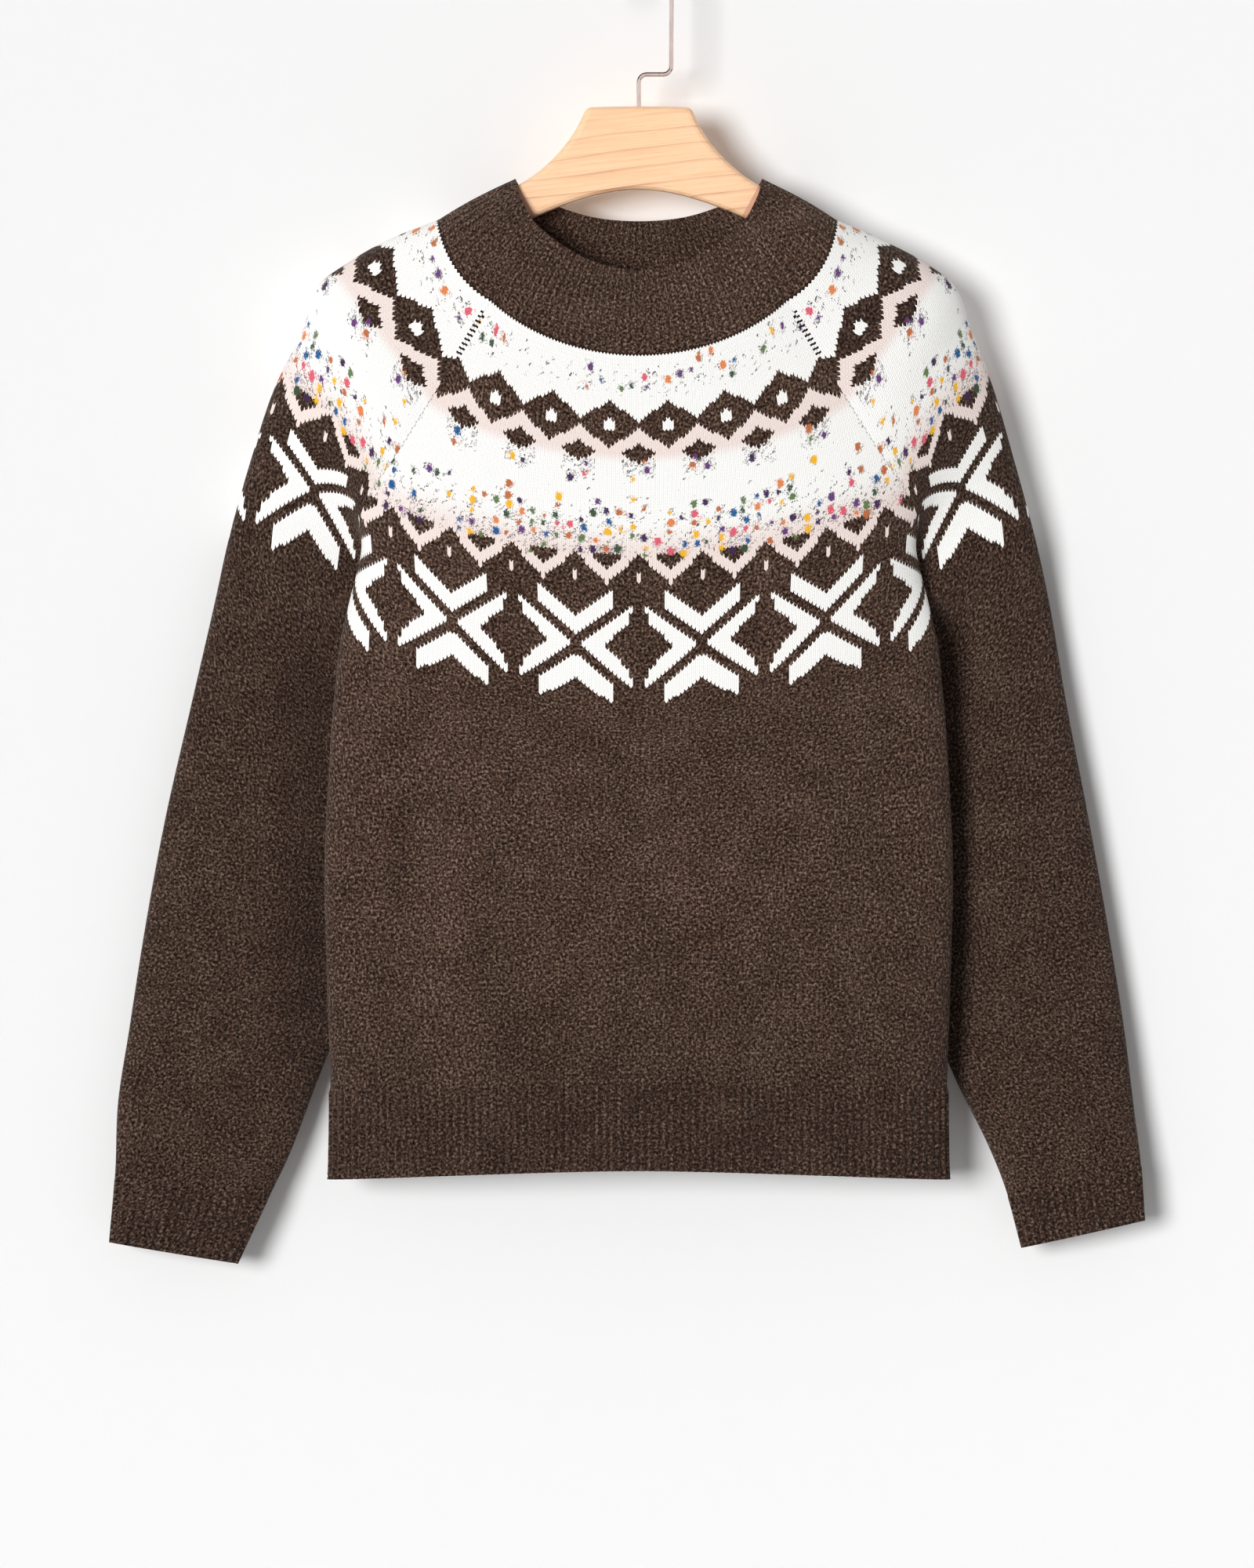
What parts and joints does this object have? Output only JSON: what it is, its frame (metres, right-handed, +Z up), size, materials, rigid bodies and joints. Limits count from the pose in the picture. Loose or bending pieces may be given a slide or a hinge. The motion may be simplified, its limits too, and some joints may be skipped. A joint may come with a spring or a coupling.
{
  "type": "fair isle jumper on wooden hanger",
  "caption": "Raglan jumper with a patterned knitted yoke and ribbed collar, hem and cuffs, hanging on a flat wooden hanger with a wire hook.",
  "frame": {"origin": "inside of the top of the hook, where a rail carries it", "axes": "+Z up along the hook's shank, -Y towards the front of the jumper, +X towards the wearer's left"},
  "size_m": [0.661, 0.0745, 0.832],
  "materials": {
    "knitted_wool": "matt knitted wool",
    "ribbed_wool": "matt ribbed wool",
    "beech": "satin clear varnish",
    "steel_wire": "bright plated wire"
  },
  "bodies": {
    "root": {"front": "knitted_wool", "back": "knitted_wool", "sleeve_right": "knitted_wool", "sleeve_left": "knitted_wool", "collar": "ribbed_wool", "hanger": "beech", "hook": "steel_wire"}
  },
  "joints": []
}
